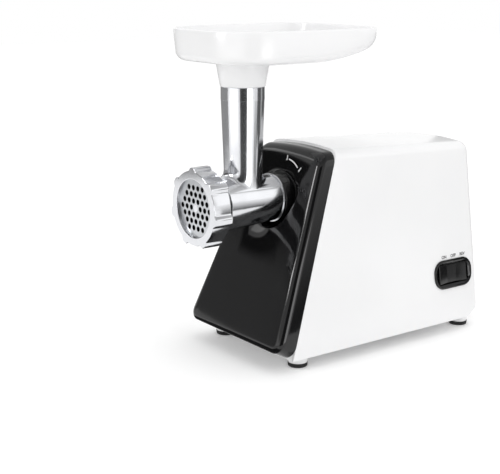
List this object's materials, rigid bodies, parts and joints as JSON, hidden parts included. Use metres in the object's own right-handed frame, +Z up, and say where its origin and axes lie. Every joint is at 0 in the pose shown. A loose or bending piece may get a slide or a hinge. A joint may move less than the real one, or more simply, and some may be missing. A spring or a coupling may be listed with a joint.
{
  "type": "electric meat grinder",
  "caption": "Electric meat grinder with a leaning white housing, black front panel, aluminium grinding head, feed tube with tray, and a side rocker switch.",
  "frame": {"origin": "centre of the bounding box on the table, under the foot pads", "axes": "+X to the side with the switch, -Y to the cutting plate at the front, +Y to the rear wall, +Z up"},
  "size_m": [0.1596, 0.323, 0.325],
  "materials": {
    "white_abs": "glossy moulded",
    "black_abs": "piano gloss moulded",
    "black_nylon": "satin moulded",
    "cast_aluminium": "polished casting",
    "stainless_steel": "ground",
    "bright_steel": "turned and zinc plated",
    "sintered_steel": "sintered",
    "lamination_steel": "stacked laminations",
    "copper": "enamelled wire and copper bars",
    "bronze": "sintered bronze",
    "natural_nylon": "moulded",
    "grey_nylon": "glass filled, moulded",
    "carbon": "pressed carbon",
    "rubber": "moulded"
  },
  "bodies": {
    "base": {"base_plate": "white_abs", "base_screws": "bright_steel", "bayonet_collar": "black_abs", "brush_holder_left": "black_nylon", "brush_holder_right": "black_nylon", "brush_spring_left": "bright_steel", "brush_spring_right": "bright_steel", "carbon_brush_left": "carbon", "carbon_brush_right": "carbon", "case_screws": "bright_steel", "collar_screws": "bright_steel", "cord_gland": "black_nylon", "cover_screws": "bright_steel", "field_coil_left": "copper", "field_coil_right": "copper", "first_gear_pin": "bright_steel", "foot_pad_front_left": "rubber", "foot_pad_front_right": "rubber", "foot_pad_rear_left": "rubber", "foot_pad_rear_right": "rubber", "front_bearing": "bright_steel", "front_panel": "black_abs", "gear_case": "grey_nylon", "gear_case_cover": "grey_nylon", "housing_shell": "white_abs", "motor_bolts": "bright_steel", "motor_bracket": "cast_aluminium", "motor_buffer": "rubber", "output_front_bush": "bronze", "output_rear_bush": "bronze", "rear_bearing": "bright_steel", "second_gear_pin": "bright_steel", "stator_core": "lamination_steel", "switch_bezel": "black_abs", "switch_body": "black_nylon", "switch_terminals": "copper"},
    "head": {"head_casting": "cast_aluminium", "plate_key": "stainless_steel", "auger_bush": "natural_nylon", "cutting_plate": "stainless_steel"},
    "ring_nut": {"ring_nut": "cast_aluminium"},
    "tray": {"hopper_tray": "white_abs"},
    "output": {"auger": "cast_aluminium", "knife": "stainless_steel", "output_gear": "sintered_steel", "output_shaft": "bright_steel"},
    "second_gear": {"second_gear": "sintered_steel"},
    "first_gear": {"first_gear": "natural_nylon"},
    "rotor": {"armature_core": "lamination_steel", "armature_windings": "copper", "armature_shaft": "bright_steel", "motor_pinion": "bright_steel", "commutator": "copper", "cooling_fan": "black_nylon"},
    "rocker": {"switch_rocker": "black_abs"}
  },
  "joints": [
    {"name": "rotor_spin", "type": "hinge", "parent": "base", "child": "rotor", "pos_m": [0, 0.002, 0.07294], "axis": [0, 1, 0], "continuous": true},
    {"name": "first_gear_spin", "type": "hinge", "parent": "base", "child": "first_gear", "pos_m": [-0.00862, 0.002, 0.10324], "axis": [0, 1, 0], "continuous": true},
    {"name": "second_gear_spin", "type": "hinge", "parent": "base", "child": "second_gear", "pos_m": [0.02187, -0.009, 0.11911], "axis": [0, 1, 0], "continuous": true},
    {"name": "output_spin", "type": "hinge", "parent": "base", "child": "output", "pos_m": [0, -0.024, 0.157], "axis": [0, 1, 0], "continuous": true},
    {"name": "head_twist", "type": "hinge", "parent": "base", "child": "head", "pos_m": [0, -0.067, 0.157], "axis": [0, 1, 0], "range_deg": [0, 40]},
    {"name": "nut_unscrew", "type": "hinge", "parent": "head", "child": "ring_nut", "pos_m": [0, -0.1615, 0.157], "axis": [0, -1, 0], "range_deg": [0, 720]},
    {"name": "tray_lift", "type": "slide", "parent": "head", "child": "tray", "axis": [0, 0, 1], "range_m": [0, 0.06]},
    {"name": "switch_rock", "type": "hinge", "parent": "base", "child": "rocker", "pos_m": [0.06543, 0.1225, 0.06198], "axis": [-0.1452, 0, 0.9894], "range_deg": [-10, 10]}
  ],
  "couplings": [
    {"joint": "first_gear_spin", "follows": "rotor_spin", "ratio": -0.16667},
    {"joint": "second_gear_spin", "follows": "rotor_spin", "ratio": 0.037037},
    {"joint": "output_spin", "follows": "rotor_spin", "ratio": -0.0092593}
  ]
}
